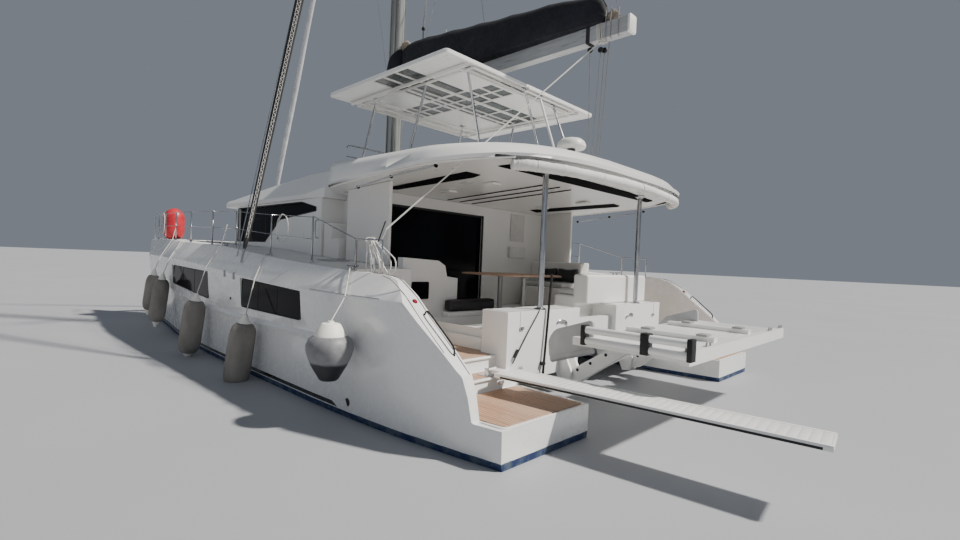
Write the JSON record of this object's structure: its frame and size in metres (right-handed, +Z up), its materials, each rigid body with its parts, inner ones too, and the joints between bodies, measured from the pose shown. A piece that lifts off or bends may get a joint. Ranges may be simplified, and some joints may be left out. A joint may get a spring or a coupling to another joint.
{
  "type": "sailing catamaran",
  "caption": "Cruising sailing catamaran with saloon, flybridge under a hard bimini, stowed mainsail, furled headsail, stern tender lift and boarding gangway.",
  "frame": {"origin": "on the waterline, amidships and on the centreline, at the waterline mount", "axes": "+X forward to the bows, +Y to port, +Z up"},
  "size_m": [17.1448, 8.6729, 25.96],
  "materials": {
    "gelcoat_white": "gloss",
    "smoked_glass": "polished",
    "teak": "satin",
    "stainless_steel": "polished",
    "spar_aluminium": "satin",
    "lift_metal": "satin",
    "navy_canvas": "matte",
    "white_canvas": "matte",
    "black_canvas": "matte",
    "fender_sleeve": "matte",
    "red_vinyl": "satin",
    "cushion_fabric": "matte",
    "bronze": "satin",
    "antifouling_paint": "matte",
    "net_cord": "matte"
  },
  "bodies": {
    "vessel": {"port_hull": "gelcoat_white", "starboard_hull": "gelcoat_white", "bridge_deck": "gelcoat_white", "foredeck": "gelcoat_white", "forward_beam": "spar_aluminium", "longeron": "gelcoat_white", "port_net": "net_cord", "starboard_net": "net_cord", "port_saloon_side": "gelcoat_white", "starboard_saloon_side": "gelcoat_white", "port_side_glass": "smoked_glass", "starboard_side_glass": "smoked_glass", "saloon_front": "gelcoat_white", "front_glass": "smoked_glass", "saloon_after_bulkhead": "gelcoat_white", "fixed_door_glass": "smoked_glass", "coachroof": "gelcoat_white", "hardtop": "gelcoat_white", "hardtop_curtain": "white_canvas", "port_hardtop_pole": "stainless_steel", "starboard_hardtop_pole": "stainless_steel", "flybridge_coaming": "gelcoat_white", "helm_console": "gelcoat_white", "flybridge_seat": "cushion_fabric", "bimini_frame": "stainless_steel", "bimini_top": "gelcoat_white", "mast": "spar_aluminium", "port_shroud": "stainless_steel", "starboard_shroud": "stainless_steel", "laced_sail_sock": "black_canvas", "port_drive_leg": "lift_metal", "starboard_drive_leg": "lift_metal", "gangway_socket": "stainless_steel", "cockpit_table": "teak", "port_lounge": "cushion_fabric", "starboard_bench": "gelcoat_white", "after_bench": "cushion_fabric", "port_guard_rail": "stainless_steel", "starboard_guard_rail": "stainless_steel", "fender_1": "fender_sleeve", "fender_2": "fender_sleeve", "fender_3": "fender_sleeve", "rail_hank": "net_cord", "wire_coil": "net_cord", "fender_4": "fender_sleeve", "ball_fender": "fender_sleeve", "bow_buoy": "red_vinyl"},
    "boom": {"boom": "spar_aluminium", "sail_cover": "navy_canvas"},
    "headsail": {"furled_headsail": "white_canvas"},
    "port_rudder": {"port_rudder": "antifouling_paint"},
    "starboard_rudder": {"starboard_rudder": "antifouling_paint"},
    "steering_wheel": {"steering_wheel": "stainless_steel"},
    "port_propeller": {"port_propeller": "bronze"},
    "starboard_propeller": {"starboard_propeller": "bronze"},
    "saloon_door": {"sliding_door": "smoked_glass"},
    "gangway": {"gangway": "gelcoat_white"},
    "lift_arms": {"lift_arms": "lift_metal"},
    "lift_table": {"lift_table": "gelcoat_white"}
  },
  "joints": [
    {"name": "boom_swing", "type": "hinge", "parent": "vessel", "child": "boom", "pos_m": [-0.6, 0, 5.73], "axis": [0, 0, 1], "range_deg": [-65, 65]},
    {"name": "headsail_furling", "type": "hinge", "parent": "vessel", "child": "headsail", "pos_m": [6.9, 0, 2.25], "axis": [-0.3528, 0, 0.9357], "continuous": true},
    {"name": "port_rudder_steering", "type": "hinge", "parent": "vessel", "child": "port_rudder", "pos_m": [-5.95, 3.05, -0.5], "axis": [0, 0, 1], "range_deg": [-35, 35]},
    {"name": "starboard_rudder_steering", "type": "hinge", "parent": "vessel", "child": "starboard_rudder", "pos_m": [-5.95, -3.05, -0.5], "axis": [0, 0, 1], "range_deg": [-35, 35]},
    {"name": "wheel_turn", "type": "hinge", "parent": "vessel", "child": "steering_wheel", "pos_m": [-1.64, 0.8, 3.87], "axis": [1, 0, 0], "range_deg": [-455, 455]},
    {"name": "port_propeller_turn", "type": "hinge", "parent": "vessel", "child": "port_propeller", "pos_m": [-4.95, 3.05, -1], "axis": [1, 0, 0], "continuous": true},
    {"name": "starboard_propeller_turn", "type": "hinge", "parent": "vessel", "child": "starboard_propeller", "pos_m": [-4.95, -3.05, -1], "axis": [1, 0, 0], "continuous": true},
    {"name": "door_slide", "type": "slide", "parent": "vessel", "child": "saloon_door", "axis": [0, 1, 0], "range_m": [0, 1.15]},
    {"name": "gangway_hinge", "type": "hinge", "parent": "vessel", "child": "gangway", "pos_m": [-6.201, 2.62, 0.628], "axis": [-0.0898, 0.996, 0], "range_deg": [-8, 75]},
    {"name": "lift_lower", "type": "hinge", "parent": "vessel", "child": "lift_arms", "pos_m": [-6.25, 0, 0.33], "axis": [0, -1, 0], "range_deg": [0, 75]},
    {"name": "lift_table_level", "type": "hinge", "parent": "lift_arms", "child": "lift_table", "pos_m": [-7.25, 0, 0.96], "axis": [0, -1, 0], "range_deg": [-75, 0]}
  ],
  "couplings": [
    {"joint": "starboard_rudder_steering", "follows": "port_rudder_steering", "ratio": 1},
    {"joint": "wheel_turn", "follows": "port_rudder_steering", "ratio": 12.9},
    {"joint": "lift_table_level", "follows": "lift_lower", "ratio": -1}
  ]
}
